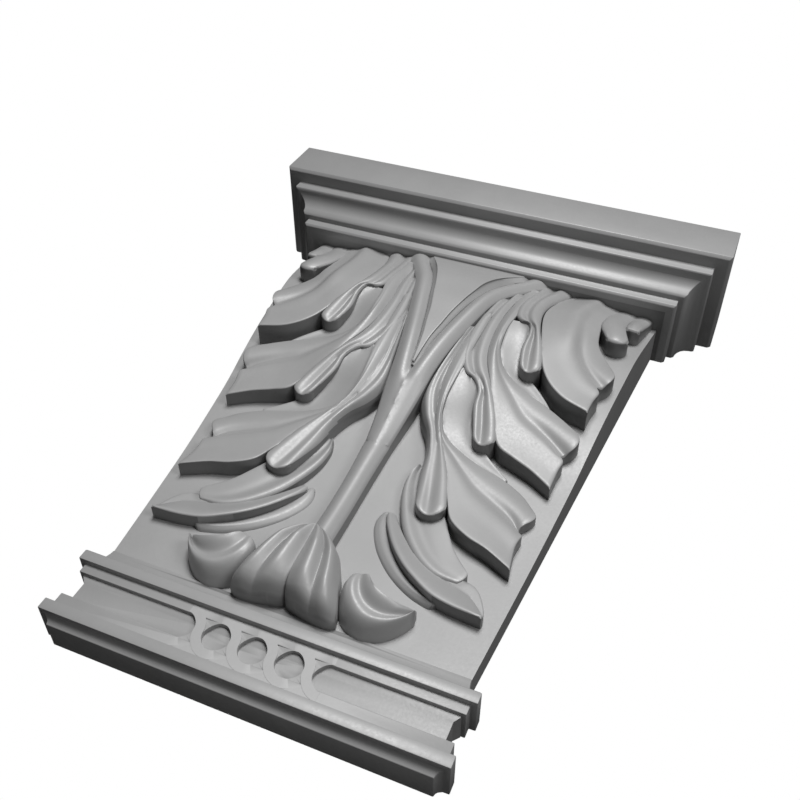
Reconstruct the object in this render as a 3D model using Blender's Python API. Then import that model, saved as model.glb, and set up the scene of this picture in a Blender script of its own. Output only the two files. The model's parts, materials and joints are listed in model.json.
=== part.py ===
"""A carved wall bracket: a moulded abacus over a tapering bell with acanthus half-leaves, and a moulded foot."""

import bpy
import numpy as np

# Driving dimensions in millimetres. "down" is the distance below the top face, "out" the distance
# from the centre line, "depth" the distance in front of the flat back, "rise" the height of the
# carving in front of the bell's own face.
MM = 0.001
HEIGHT = 303.7
HALF_WIDTH = 120.0
DEPTH = 54.3
FOOT_HALF_WIDTH = 81.1
FOOT_DEPTH = 17.35

# Mouldings: (setback from the widest line, down), the same on the front and on both returns.
ABACUS = (
    (0.0, 0.0), (0.0, 24.2), (1.4, 25.7), (7.3, 25.8), (7.3, 31.4), (8.9, 32.2), (11.8, 33.1),
    (14.1, 35.0), (15.4, 37.4), (15.9, 40.3), (17.1, 41.5), (19.5, 41.6), (19.5, 45.9), (20.5, 47.0),
    (24.0, 47.0),
)
FOOT = (
    (6.1, 264.0), (5.6, 267.0), (4.6, 270.4), (0.6, 271.2), (0.0, 271.6), (0.0, 276.0), (2.5, 276.1),
    (2.5, 279.9), (5.6, 280.0), (7.2, 280.8), (8.0, 282.4), (8.0, 289.6), (7.0, 290.7), (2.6, 290.8),
    (2.6, 296.0), (0.2, 296.1), (0.2, 300.9), (2.7, 301.1), (4.2, 302.1), (4.9, HEIGHT),
)

# The bell: (down, depth of its face). Its sides lean out evenly towards the top.
BELL = (
    (40.0, 16.9), (47.0, 18.4), (63.0, 21.7), (76.0, 24.3), (88.0, 25.5), (104.0, 24.7),
    (122.0, 23.1), (140.0, 20.3), (160.0, 16.1), (180.0, 13.7), (205.0, 11.7), (235.0, 10.9), (268.0, 10.6),
)
BELL_HALF_WIDTH = 97.7
BELL_TAPER = 0.086

# How far the carving's solids run into the bell and past each other.
ROOT_DEPTH = 3.0

# Cross-sections of the carving. Each knot is (place at the root, rise there, place at the tip, rise
# there), with places from 0 at the outer edge to 1 at the inner edge.
FIRST_BLADE = ((0, 0, 0, 0), (0.06, 0.2, 0.12, 1.1), (0.12, 0.45, 0.24, -0.5), (0.2, 0.8, 0.32, 0.5),
               (0.28, 1.25, 0.42, -1.3), (0.44, 3.3, 0.56, 1.1), (0.72, 1.6, 0.78, -0.5), (1, 0, 1, 0))
NEXT_BLADE = ((0, 0, 0, 0), (0.06, 0.2, 0.12, 1.1), (0.12, 0.4, 0.24, -0.5), (0.2, 0.6, 0.32, 0.5),
              (0.3, 0.8, 0.42, -1.3), (0.45, 0.9, 0.56, 1.1), (0.7, 0.4, 0.78, -0.5), (1, -1.0, 1, 0))
HOOK = ((0, -2.5, 0, 0), (0.2, -0.4, 0.2, 0.3), (0.42, 0.3, 0.4, -0.6), (0.6, -1.4, 0.58, -2.0),
        (0.8, 0.4, 0.78, 0.2), (1, -0.6, 1, 0))
LOWER_HOOK = ((0, -2.5, 0, 0), (0.2, -0.2, 0.2, 0.3), (0.38, -1.0, 0.4, -0.4), (0.58, 0.4, 0.58, -1.9),
              (0.76, -0.3, 0.78, 0.2), (1, -5.5, 1, 0))
CURL = ((0, 0, 0, 0), (0.5, 0.6, 0.5, 1.8), (1, 0, 1, 0))
PLAIN = ((0, 0, 0, 0), (1, 0, 1, 0))
BOWL = ((0, 0, 0, 0), (0.45, -0.9, 0.5, -0.2), (1, 0, 1, 0))
ROLL = ((0, 0, 0, 0), (0.3, 0.4, 0.3, 0.4), (0.75, 0.7, 0.75, 0.5), (1, 0, 1, 0))
SCOOP = ((0, 0, 0, 0), (0.45, -1.0, 0.45, -0.8), (1, 0, 1, 0))
FLAP = ((0, 0, 0, 0), (0.5, 0.2, 0.6, 0.2), (0.78, -0.4, 0.85, 0), (1, -4.2, 1, -0.8))
CORD = ((0, 0, 0, 0), (0.25, 2.4, 0.25, 2.5), (0.5, 3.2, 0.5, 3.5), (0.75, 2.4, 0.75, 2.5), (1, 0, 1, 0))

# The lobes of one half-leaf: section, tip, then the outer and the inner edge from root to tip as
# (out, down, rise). A tip is either the points of its edge, as (out, down), or its roundness, 1 for
# a half circle.
LOBES = {
    "small curl": (CURL, 0.9,
        ((91.5, 43, 4.6), (90.6, 52, 5.6), (89.4, 60, 7.0), (88.4, 66.5, 8.2)),
        ((82.0, 43, 4.4), (81.6, 52, 5.8), (81.2, 60, 7.8), (81.2, 67.0, 9.2))),
    "large curl": (CURL, 0.9,
        ((84.6, 43, 5.0), (82.2, 53, 6.0), (81.4, 63, 7.8), (82.4, 72, 9.4), (85.2, 79.5, 8.8)),
        ((74.0, 43, 5.2), (72.0, 53, 7.0), (70.4, 63, 9.0), (70.6, 73, 9.8), (74.6, 82.0, 9.4))),
    "upper blade": (FIRST_BLADE, ((83.6, 103), (85.3, 107.5), (84.4, 112.5), (81.4, 116.8), (80.2, 119.4),
                                  (81.8, 122.4), (80.6, 128), (80.0, 135.3)),
        ((76.0, 43, 5.6), (73.0, 56, 7.2), (71.0, 68, 8.0), (71.6, 80, 8.0), (74.2, 90, 6.8),
         (83.6, 103, 6.6)),
        ((50.0, 43, 6.8), (45.6, 62, 10.0), (44.6, 82, 12.4), (50.0, 105, 13.6), (56.4, 121, 12.6),
         (66.5, 130.8, 12.0), (80.0, 135.3, 11.5))),
    "upper hook": (HOOK, 0.95,
        ((51.4, 43, 10.2), (47.6, 55, 12.0), (44.8, 68, 13.8), (44.2, 82, 15.2), (47.0, 96, 15.8),
         (51.8, 108, 14.4),
         (54.2, 117.6, 12.8)),
        ((35.0, 43, 9.6), (33.6, 60, 12.0), (32.6, 78, 14.4), (33.2, 89, 15.2), (36.4, 93.6, 15.4),
         (41.0, 95.2, 15.4),
         (42.6, 101, 15.2), (42.2, 110, 14.0), (44.2, 118.4, 12.8))),
    "upper bowl": (BOWL, 0.0,
        ((40.0, 92.5, 15.2), (45.0, 99, 13.2), (46.2, 108, 9.6), (47.2, 115, 7.8), (51.0, 121, 6.6),
         (56.0, 125.6, 6.2),
         (61.5, 131.0, 5.8), (65.8, 136.4, 5.6)),
        ((32.2, 94, 14.2), (31.4, 101, 14.0), (31.8, 109, 12.6), (34.4, 116.4, 10.2), (39.4, 122.6, 8.0),
         (46.5, 127.2, 6.8), (54.5, 132.0, 6.2), (62.6, 137.8, 5.8))),
    "middle blade": (NEXT_BLADE, ((78.5, 142.5), (80.6, 147.0), (79.6, 151.5), (76.8, 154.8), (75.6, 157.0),
                                  (77.2, 159.6), (76.4, 165), (76.0, 174.3)),
        ((38.0, 56, 10.4), (35.4, 76, 13.0), (33.8, 90, 14.3), (32.7, 98, 14.4), (32.6, 105, 14.2),
         (33.6, 113, 12.0),
         (37.6, 119.8, 9.0), (45.0, 125.0, 7.0), (55.0, 130, 6.2), (66.0, 135.0, 5.8), (78.5, 142.5, 6.0)),
        ((28.6, 56, 11.8), (28.4, 78, 13.0), (27.0, 100, 13.4), (29.0, 118, 13.0), (36.0, 134, 12.3),
         (43.0, 149, 11.2),
         (48.6, 161.4, 10.0), (57.0, 165.4, 9.0), (66.0, 168.8, 8.2), (76.0, 174.3, 7.2))),
    "middle hook": (HOOK, 0.95,
        ((31.0, 56, 11.8), (29.4, 76, 13.2), (28.2, 98, 13.6), (30.0, 119, 13.2), (36.6, 134, 12.4),
         (43.4, 148, 11.3),
         (47.6, 159.6, 10.5)),
        ((24.0, 64, 13.0), (19.6, 86, 13.2), (17.0, 106, 13.2), (18.6, 122, 13.2), (23.0, 131.4, 13.2),
         (28.4, 134.6, 13.0), (32.0, 140.0, 12.4), (33.0, 148, 11.6), (37.6, 160.6, 10.4))),
    "lower bowl": (BOWL, 0.0,
        ((29.0, 131.0, 13.2), (34.6, 138, 11.6), (36.2, 147, 8.6), (38.2, 156, 6.2), (43.8, 163.0, 5.2),
         (50.5, 168.2, 4.4), (57.8, 173.0, 3.6)),
        ((21.2, 130, 12.6), (19.2, 138, 11.8), (18.8, 147, 10.4), (20.8, 156.8, 8.0), (27.8, 165.4, 5.8),
         (38.6, 171.2, 4.7), (56.6, 176.4, 3.4))),
    "lower blade": (NEXT_BLADE, ((72.5, 184), (74.6, 187.4), (73.8, 190.8), (71.4, 194.0), (70.2, 196.4),
        (72.4, 199.4),
                                 (71.8, 207), (73.4, 218.4)),
        ((22.4, 92, 12.6), (21.8, 112, 12.8), (21.6, 128, 13.0), (20.9, 138, 12.6), (20.5, 146, 11.4),
         (21.6, 154.4, 9.2),
         (25.6, 161.8, 7.0), (34.0, 166.6, 5.4), (44.0, 170.4, 4.5), (57.0, 173.8, 3.4),
          (66.2, 178.4, 3.0), (72.5, 184, 2.8)),
        ((17.8, 92, 12.6), (15.0, 116, 12.2), (14.4, 134, 11.6), (16.0, 150, 10.4), (21.5, 164, 9.8),
         (28.6, 176, 9.4),
         (35.0, 186, 9.2), (40.0, 197, 9.3), (44.4, 205, 9.3), (53.0, 210.2, 8.9), (62.0, 213, 8.4),
          (73.4, 218.4, 7.6))),
    "lower hook": (LOWER_HOOK, 0.95,
        ((19.0, 98, 12.8), (16.6, 120, 12.4), (16.4, 138, 11.8), (20.2, 153, 10.8), (27.4, 168, 10.0),
         (35.0, 183, 9.6),
         (40.4, 198.6, 9.2)),
        ((13.5, 108, 12.5), (10.4, 128, 11.6), (8.6, 146, 10.2), (12.4, 156.6, 9.8), (18.0, 165, 9.5),
         (22.2, 174, 9.2),
         (25.0, 185, 9.0), (29.6, 199.8, 8.9))),
    "last flap": (FLAP, ((58.0, 222.8), (58.9, 224.6), (58.0, 227.4), (56.0, 230.4)),
        ((24.6, 178.4, 4.8), (31.0, 187, 5.2), (37.0, 195.5, 5.4), (42.0, 203, 5.2), (45.4, 208.4, 5.0),
         (49.0, 213.8, 4.7),
         (53.4, 218.6, 4.4), (58.0, 222.8, 4.2)),
        ((18.2, 179.6, 4.4), (16.4, 185.6, 4.8), (17.6, 194, 5.2), (21.0, 204, 5.4), (27.0, 214.8, 5.4),
         (36.2, 224.2, 5.2),
         (46.4, 229.8, 4.8), (56.0, 230.4, 4.2))),
    "last leaf": (PLAIN, 0.3,
        ((48.0, 222, 3.4), (57.0, 226.4, 3.6), (62.6, 227.8, 3.8), (66.6, 231.4, 3.8), (69.8, 237.0, 3.8),
         (70.9, 241.4, 3.8)),
        ((44.0, 229, 3.4), (54.0, 234, 3.4), (60.0, 236.0, 3.4), (64.0, 238.2, 3.4), (67.6, 240.8, 3.4),
         (70.0, 242.4, 3.6))),
    "long blade": (ROLL, 0.0,
        ((20.8, 204.6, 0.5), (23.8, 208.6, 1.7), (28.6, 214.4, 2.6), (36.4, 221.8, 3.2), (46.4, 227.6, 3.4),
         (56.5, 231.0, 3.5), (64.0, 233.8, 3.8), (70.8, 240.8, 5.0)),
        ((17.2, 205.8, 1.0), (19.5, 210.8, 3.4), (22.0, 215.5, 4.9), (25.5, 221.0, 5.8), (29.3, 225.6, 6.3),
         (34.0, 230.2, 6.7), (39.6, 234.4, 6.9), (48.6, 239.6, 6.9), (57.6, 241.8, 6.9),
          (66.0, 242.6, 7.1), (70.6, 242.9, 7.3))),
    "long skirt": (SCOOP, 0.0,
        ((17.2, 206.4, 0.8), (18.9, 211.2, 1.9), (24.2, 219.6, 2.9), (33.2, 229.4, 3.4),
         (43.0, 236.4, 3.4), (54.0, 240.6, 2.8)),
        ((15.8, 206.0, 0.2), (13.9, 209.4, 0.2), (14.8, 215.0, 0.2), (19.8, 223.4, 0.2), (25.8, 230.6, 0.2),
         (32.6, 236.2, 0.2), (41.0, 240.6, 0.2), (50.0, 243.0, 0.2))),
}

# The forked stem: one of its branches, and the edge of its trunk. The raised panel between the
# branches has a rim, and a bevel on each side.
BRANCH = (CORD, 0.0,
    ((41.0, 43, 8.6), (35.4, 53, 10.6), (27.4, 68, 12.8), (21.4, 81, 13.6), (16.6, 100, 13.4),
     (12.6, 119, 12.6),
     (9.8, 137, 11.0), (7.6, 150, 8.0), (5.6, 160, 4.6)),
    ((27.4, 43, 11.6), (22.6, 56, 12.4), (16.0, 69, 13.4), (12.6, 79, 13.8), (7.4, 99, 13.6),
     (3.2, 119, 13.4),
     (-0.3, 138, 12.4), (-0.8, 150, 8.4), (-1.0, 160, 4.6)))
TRUNK_EDGE = ((7.2, 134, 9.6), (8.6, 146, 9.8), (8.0, 152, 8.8), (6.9, 162, 7.4), (5.8, 178, 6.2),
    (5.1, 196, 5.8),
              (5.0, 214, 5.8), (5.0, 238, 6.4))
TRUNK = (CORD, 0.0, TRUNK_EDGE, tuple((-out, down, rise) for out, down, rise in TRUNK_EDGE))
PANEL_RIM = ((27.0, 43, 12.6), (21.6, 54, 16.0), (16.3, 65, 18.4), (12.3, 75, 18.8), (9.7, 84, 17.9),
    (7.4, 93, 17.7),
             (5.2, 102, 17.3), (3.6, 111.4, 16.9), (1.8, 121, 16.3), (0.5, 136, 15.1))
PANEL = (PLAIN, 0.0, PANEL_RIM, tuple((-out, down, rise) for out, down, rise in PANEL_RIM))
BEVEL = (PLAIN, 0.0,
    ((29.6, 43.6, 11.0), (24.2, 54.6, 13.0), (18.4, 65.4, 14.2), (14.4, 75.4, 14.6), (11.6, 84.4, 14.6),
     (9.2, 93.4, 14.8),
     (7.0, 102.4, 14.6), (5.1, 111.6, 14.4), (3.2, 121.2, 14.0), (1.1, 137, 13.0)),
    ((26.4, 43.6, 12.9), (21.0, 54.6, 15.9), (15.7, 65.4, 18.1), (11.7, 75.4, 18.4), (9.1, 84.4, 17.5),
     (6.8, 93.4, 17.3),
     (4.6, 102.4, 16.9), (3.0, 111.6, 16.5), (1.2, 121.2, 15.9), (-0.2, 137, 14.4)))

# The bud's fluted bulb: its rise in front of the bell and half its width along its length, and the
# places of its creases, from 0 at the middle to 1 at the side. Its foot is an arc on each side.
BULB_TIP = 233.4
BULB_FOOT = 260.8
FOOT_ARC = 5.8
FOOT_CORNER = 0.5
BULB_RISE = ((0.0, 17.4), (0.2, 16.2), (0.6, 15.2), (0.76, 14.3), (0.88, 12.6), (0.95, 9.8), (1.0, 5.0))
BULB_WIDTH = ((0.0, 0.6), (0.05, 5.4), (0.135, 9.8), (0.28, 13.9), (0.48, 16.9), (0.65, 18.7),
    (0.82, 20.6), (1.0, 22.0))
BULB_CREASES = (0.0, 0.54, 1.0)
FLUTE_RISE = 3.2
FLUTE_LEAN = 1.15
BULB_SHOULDER = 0.3

# The bud's curled side lobe: the outline below it from the far end to the tip, and its upper edge.
SIDE_LOBE = (((0, 0, 0, 0), (0.04, 2.0, 0.04, 2.2), (0.12, 4.2, 0.12, 4.6), (0.25, 5.6, 0.25, 6.2),
    (0.38, 5.0, 0.38, 5.6),
              (0.5, 3.0, 0.5, 3.4), (0.59, 1.3, 0.59, 1.5), (0.8, 1.3, 0.8, 1.6), (0.92, 0.8, 0.92, 1.0),
               (1, 0, 1, 0)), 0.8,
    ((47.8, 251.2, 2.2), (44.8, 257.0, 1.4), (39.0, 262.6, 1.0), (32.0, 265.0, 1.0), (25.6, 263.2, 1.4),
     (20.4, 258.6, 2.4), (18.6, 252.6, 5.0), (19.8, 248.4, 8.0)),
    ((47.4, 247.6, 4.6), (45.4, 249.2, 8.0), (41.4, 250.9, 11.4), (36.0, 250.9, 13.8), (31.4, 249.2, 14.4),
     (28.4, 246.6, 13.4)))

# The woven band on the foot, and the floor behind it: (half width, depth, down).
BAND_FLOOR = ((77.0, 13.1, 278.0), (77.0, 13.1, 280.2), (75.0, 12.25, 282.6), (75.0, 12.25, 293.0))
WEAVE_DOWN = 285.55
WEAVE_HALF_HEIGHT = 7.75
WEAVE_PITCH = 14.8
WEAVE_CROSSINGS = 4
STRAP_WIDTH = 3.8
STRAP_SETBACK = 2.48
STRAP_ROOT = 10.0
STRAP_STEPS = 47
UNDER_DROP = 0.5

# Rows along a lobe with many or few edge points, and columns beyond one for each knot.
ROWS, SHORT_ROWS = 11, 8
LONG_EDGE = 6
MORE_COLUMNS = 2

STONE = (0.30, 0.30, 0.30, 1.0)


def world(out, down, depth):
    """Points in metres: out to +X, the front to -Y, and the origin at the middle of the back."""
    return np.stack([out, -depth, HEIGHT / 2 - down], axis=-1) * MM


def smooth_curve(points, count):
    """Catmull-Rom spans through the points, read off at even steps of their length on the face."""
    knots = np.asarray(points, float)
    knots = np.vstack([2 * knots[0] - knots[1], knots, 2 * knots[-1] - knots[-2]])
    u = np.linspace(0, 1, 17)[:, None]
    before, start, end, after = (knots[k:len(knots) - 3 + k, None, :] for k in range(4))
    spans = 0.5 * (2 * start + (end - before) * u + (2 * before - 5 * start + 4 * end - after) * u**2
                   + (3 * start - before - 3 * end + after) * u**3)
    return read_off(np.vstack([spans[:, :-1].reshape(-1, knots.shape[1]), knots[-2]]), count)


def read_off(line, count):
    """A polyline read at even steps of its length, measured in its first two coordinates."""
    length = np.concatenate([[0], np.cumsum(np.hypot(*np.diff(line[:, :2], axis=0).T))])
    steps = np.linspace(0, length[-1], count)
    return np.stack([np.interp(steps, length, column) for column in line.T], axis=1)


def bell_depth(down):
    """Depth of the bell's face at each level, on one smooth curve through its profile."""
    line = smooth_curve(BELL, 160)
    return np.interp(down, line[:, 0], line[:, 1])


def section_rise(section, s, t):
    """Rise across a lobe: one smooth curve through knots that slide from the root to the tip.

    They slide with the cube of the length, so most of the change comes near the tip. At each knot
    the curve is parallel to the line between the knots on its two sides.
    """
    last = len(section) - 1
    place = [a + (c - a) * s**3 for a, _, c, _ in section]
    height = [b + (d - b) * s**3 for _, b, _, d in section]
    slope = [(height[min(k + 1, last)] - height[max(k - 1, 0)]) / (place[min(k + 1, last)] - place[max(k - 1, 0)])
             for k in range(last + 1)]
    rise = np.zeros(np.broadcast(s, t).shape)
    for k in range(last):
        span = place[k + 1] - place[k]
        u = np.clip((t - place[k]) / span, 0, 1)
        start = height[k] * (1 + 2 * u) + span * slope[k] * u
        end = height[k + 1] * (3 - 2 * u) - span * slope[k + 1] * (1 - u)
        rise = np.where(t >= place[k], start * (1 - u) ** 2 + end * u**2, rise)
    return rise


def tip_shift(tip, ends, t):
    """From the straight last row to the tip's edge: its own curve, or a half ellipse of that roundness."""
    start, end = ends
    row = start * (1 - t) + end * t
    if isinstance(tip, tuple):
        return smooth_curve(tip, len(t)) - row
    across = end - start
    return np.sqrt(1 - (2 * t - 1) ** 2) * np.array([across[1], -across[0]]) * tip / 2


def lobe_grid(shape, rows, columns):
    """A lobe's top as rows from root to tip and columns from the outer to the inner edge.

    Each row is a straight line between the two edge curves. Over the last stretch the rows bend to
    the tip's edge. The section's waves are added to the rise.
    """
    section, tip, outer, inner = shape
    a, b = smooth_curve(outer, rows), smooth_curve(inner, rows)
    s, t = np.linspace(0, 1, rows)[:, None], np.linspace(0, 1, columns)[None, :]
    top = a[:, None, :] * (1 - t[..., None]) + b[:, None, :] * t[..., None]
    shift = tip_shift(tip, (a[-1, :2], b[-1, :2]), t.T)
    top[..., :2] += s[..., None] ** 12 * shift
    top[..., 2] += section_rise(section, s, t)
    return top


def closed_solid(top, side):
    """Vertices and faces of a grid's top, straight walls along the depth and a floor inside the bell."""
    rows, columns = top.shape[:2]
    out, down, rise = top[..., 0] * side, top[..., 1], top[..., 2]
    face = bell_depth(down)
    upper = world(out, down, face + rise).reshape(-1, 3)
    lower = world(out, down, face - ROOT_DEPTH).reshape(-1, 3)
    index = np.arange(rows * columns).reshape(rows, columns)
    quads = np.stack([index[:-1, :-1], index[:-1, 1:], index[1:, 1:], index[1:, :-1]], -1).reshape(-1, 4)
    rim = np.concatenate([index[0, :-1], index[:-1, -1], index[-1, :0:-1], index[:0:-1, 0]])
    ahead = np.roll(rim, -1)
    under = rows * columns
    walls = np.stack([ahead, rim, rim + under, ahead + under], -1)
    faces = np.vstack([quads, quads[:, ::-1] + under, walls])
    return np.vstack([upper, lower]), faces if side > 0 else faces[:, ::-1]


def mesh_object(name, vertices, faces):
    """An object from arrays, with its faces turned outwards."""
    mesh = bpy.data.meshes.new(name)
    mesh.from_pydata(vertices.tolist(), [], [tuple(face) for face in faces.tolist()])
    mesh.validate()
    mesh.update()
    piece = bpy.data.objects.new(name, mesh)
    bpy.context.scene.collection.objects.link(piece)
    return piece


def stacked_block(name, widths, depths, downs):
    """A block of rectangles, one above another, with a flat back: mitred mouldings and the bell."""
    corners = np.array([(-1, 0), (-1, 1), (1, 1), (1, 0)])
    out = np.outer(widths, corners[:, 0])
    depth = np.outer(depths, corners[:, 1])
    down = np.repeat(np.asarray(downs, float)[:, None], 4, axis=1)
    vertices = world(out, down, depth).reshape(-1, 3)
    faces = [(0, 1, 2, 3), tuple(4 * (len(widths) - 1) + k for k in (3, 2, 1, 0))]
    for row in range(len(widths) - 1):
        for k in range(4):
            a, b = 4 * row + k, 4 * row + (k + 1) % 4
            faces.append((a, a + 4, b + 4, b))
    return mesh_object(name, vertices, np.array(faces))


def moulding(name, profile, half_width, depth):
    """A moulding with equal returns: each line of its profile is set back alike on front and sides."""
    setback, down = np.array(profile).T
    return stacked_block(name, half_width - setback, depth - setback, down)


def bell(name):
    """The tapering body, its front curved like a flat S."""
    downs = np.concatenate([np.linspace(42, 100, 8), np.linspace(112, 266, 11)])
    return stacked_block(name, BELL_HALF_WIDTH - BELL_TAPER * downs, bell_depth(downs), downs)


def carved(name, shape, side):
    """One lobe; one with a short edge or a plain section needs fewer rows or columns."""
    section, _, outer, _ = shape
    rows = SHORT_ROWS if len(outer) < LONG_EDGE else ROWS
    columns = len(section) + (MORE_COLUMNS if len(section) > 2 else 2)
    return mesh_object(name, *closed_solid(lobe_grid(shape, rows, columns), side))


def flute_rise(places):
    """Leaning arches between the creases: each is a sine of a power of its own share, prouder outwards."""
    rise = np.zeros_like(places)
    for start, end in zip(BULB_CREASES, BULB_CREASES[1:]):
        share = np.clip((places - start) / (end - start), 0, 1)
        rise += np.sin(np.pi * share**FLUTE_LEAN) * FLUTE_RISE
    return rise


def bulb(name, rows=12, columns=23):
    """The bud's middle: flutes that fan out from its tip and turn under at its foot.

    Its rise is the profile along its length, lower towards the sides by a power of the share, plus
    the flutes, which grow out of the tip and grow weaker towards the foot.
    """
    s = np.linspace(0, 1, rows)[:, None]
    t = np.linspace(1, -1, columns)[None, :]
    width = np.interp(s, *smooth_curve(BULB_WIDTH, 60).T)
    rise = np.interp(s, *smooth_curve(BULB_RISE, 60).T)
    fade = np.clip(s / 0.25, 0, 1) ** 0.7 * (1 - 0.5 * s**6)
    foot = BULB_FOOT + FOOT_ARC * np.abs(t) ** 0.45 * (1 - FOOT_CORNER * t**8)
    down = BULB_TIP + (foot - BULB_TIP) * s
    height = rise * (1 - BULB_SHOULDER * t**6) + flute_rise(np.abs(t)) * fade
    top = np.stack(np.broadcast_arrays(t * width, down, height), -1)
    return mesh_object(name, *closed_solid(top, 1))


def strap(name, turn):
    """One strap of the woven band: a flat ribbon, straight, then flattened cosine waves between the rings.

    Where it passes under the other strap it dips by the under drop times a power of a sine.
    """
    reach = WEAVE_PITCH * WEAVE_CROSSINGS / 2
    x = np.linspace(-reach, reach, 160 * WEAVE_CROSSINGS + 1)
    wave = np.cos(np.pi * x / WEAVE_PITCH)
    down = WEAVE_DOWN - turn * WEAVE_HALF_HEIGHT * np.sign(wave) * np.abs(wave) ** 0.52
    dip = UNDER_DROP * np.clip(-turn * np.sin(np.pi * x / WEAVE_PITCH), 0, 1) ** 3
    line = read_off(np.stack([x, down, dip], axis=1), STRAP_STEPS)
    ahead = np.gradient(line[:, :2], axis=0)
    across = np.stack([-ahead[:, 1], ahead[:, 0]], axis=1) / np.hypot(*ahead.T)[:, None]
    edges = line[:, None, :2] + across[:, None, :] * np.array([-0.5, 0.5])[None, :, None] * STRAP_WIDTH
    front = np.repeat(FOOT_DEPTH - STRAP_SETBACK - line[:, 2:], 2, axis=1)
    upper = world(edges[..., 0], edges[..., 1], front)
    lower = world(edges[..., 0], edges[..., 1], np.full(front.shape, FOOT_DEPTH - STRAP_ROOT))
    vertices = np.concatenate([upper, lower], axis=1).reshape(-1, 3)
    faces = [(2, 3, 1, 0)]
    for row in range(STRAP_STEPS - 1):
        for a, b in ((0, 1), (1, 3), (3, 2), (2, 0)):
            faces.append((4 * row + b, 4 * row + 4 + b, 4 * row + 4 + a, 4 * row + a))
    last = 4 * (STRAP_STEPS - 1)
    faces.append((last, last + 1, last + 3, last + 2))
    return mesh_object(name, vertices, np.array(faces))


def stone():
    """Fine grey cast stone."""
    material = bpy.data.materials.new("Cast_stone")
    material.use_nodes = True
    shader = material.node_tree.nodes["Principled BSDF"]
    shader.inputs["Base Color"].default_value = STONE
    shader.inputs["Roughness"].default_value = 0.5
    return material


def make_bracket():
    """All the forms, joined into the one carved block."""
    block = bell("Carved_bracket")
    parts = [moulding("Abacus", ABACUS, HALF_WIDTH, DEPTH), moulding("Foot", FOOT, FOOT_HALF_WIDTH, FOOT_DEPTH)]
    for side in (-1, 1):
        for name, shape in LOBES.items():
            parts.append(carved(f"{name} {side}", shape, side))
        for name, shape in (("branch", BRANCH), ("bevel", BEVEL), ("side lobe", SIDE_LOBE)):
            parts.append(carved(f"{name} {side}", shape, side))
    parts += [carved("trunk", TRUNK, 1), carved("panel", PANEL, 1), bulb("bulb")]
    parts.append(stacked_block("Band floor", *np.array(BAND_FLOOR).T))
    parts += [strap(f"strap {turn}", turn) for turn in (-1, 1)]
    forms = bpy.data.collections.new("Forms")
    bpy.context.scene.collection.children.link(forms)
    for part in parts:
        bpy.context.scene.collection.objects.unlink(part)
        forms.objects.link(part)
        part.hide_render = True
        part.display_type = "WIRE"
    join = block.modifiers.new("Join", "BOOLEAN")
    join.operation = "UNION"
    join.operand_type = "COLLECTION"
    join.collection = forms
    join.solver = "EXACT"
    block.data.materials.append(stone())
    return block


def main():
    for leftover in list(bpy.data.objects):
        bpy.data.objects.remove(leftover)
    make_bracket()


main()
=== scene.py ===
"""The carved bracket's looks: moulded abacus, tapering bell, acanthus half-leaves, bud and woven foot."""

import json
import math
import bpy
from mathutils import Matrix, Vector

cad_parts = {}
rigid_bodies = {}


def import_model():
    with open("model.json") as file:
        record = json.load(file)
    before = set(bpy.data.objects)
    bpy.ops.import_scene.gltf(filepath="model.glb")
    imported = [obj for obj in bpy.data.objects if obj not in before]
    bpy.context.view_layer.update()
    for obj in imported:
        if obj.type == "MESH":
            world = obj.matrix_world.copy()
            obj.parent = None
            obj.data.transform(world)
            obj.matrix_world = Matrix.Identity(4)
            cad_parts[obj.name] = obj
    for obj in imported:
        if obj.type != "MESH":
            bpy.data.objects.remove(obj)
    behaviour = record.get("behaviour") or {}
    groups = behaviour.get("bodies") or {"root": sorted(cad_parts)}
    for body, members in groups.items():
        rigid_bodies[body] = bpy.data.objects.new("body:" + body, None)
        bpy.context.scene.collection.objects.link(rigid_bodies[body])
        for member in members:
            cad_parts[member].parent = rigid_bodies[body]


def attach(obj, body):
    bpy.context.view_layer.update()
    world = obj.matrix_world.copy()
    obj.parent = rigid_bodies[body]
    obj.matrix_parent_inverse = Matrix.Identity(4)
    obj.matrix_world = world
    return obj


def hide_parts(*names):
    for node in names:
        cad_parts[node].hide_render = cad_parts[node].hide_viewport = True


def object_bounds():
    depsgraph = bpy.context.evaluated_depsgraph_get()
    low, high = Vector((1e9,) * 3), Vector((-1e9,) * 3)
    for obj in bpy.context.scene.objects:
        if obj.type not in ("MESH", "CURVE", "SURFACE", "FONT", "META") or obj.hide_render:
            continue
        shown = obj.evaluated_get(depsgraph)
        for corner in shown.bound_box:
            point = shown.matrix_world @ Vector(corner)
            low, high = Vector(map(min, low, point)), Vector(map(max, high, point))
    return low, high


bl_info = {
    "name": "Carved bracket",
    "version": (1, 0, 0),
    "blender": (4, 5, 0),
    "location": "View3D > Sidebar > Bracket",
    "description": "Carves a wall bracket in fine cast stone around its packed solid",
    "category": "Object",
}

import bpy
import numpy as np
from mathutils import Matrix

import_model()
CAD_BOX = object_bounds()
NODE = "Carved_bracket"
MM = 0.001

# Sizes in millimetres. "down" is the distance below the top face, "out" the distance from the
# centre line, "depth" the distance in front of the flat back, and "rise" the height of the carving
# in front of the bell's own face.
HEIGHT = (CAD_BOX[1].z - CAD_BOX[0].z) / MM
HALF_WIDTH = CAD_BOX[1].x / MM
DEPTH = -CAD_BOX[0].y / MM
TOP = CAD_BOX[1].z / MM
FOOT_HALF_WIDTH = 81.1
FOOT_DEPTH = 17.35

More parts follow.
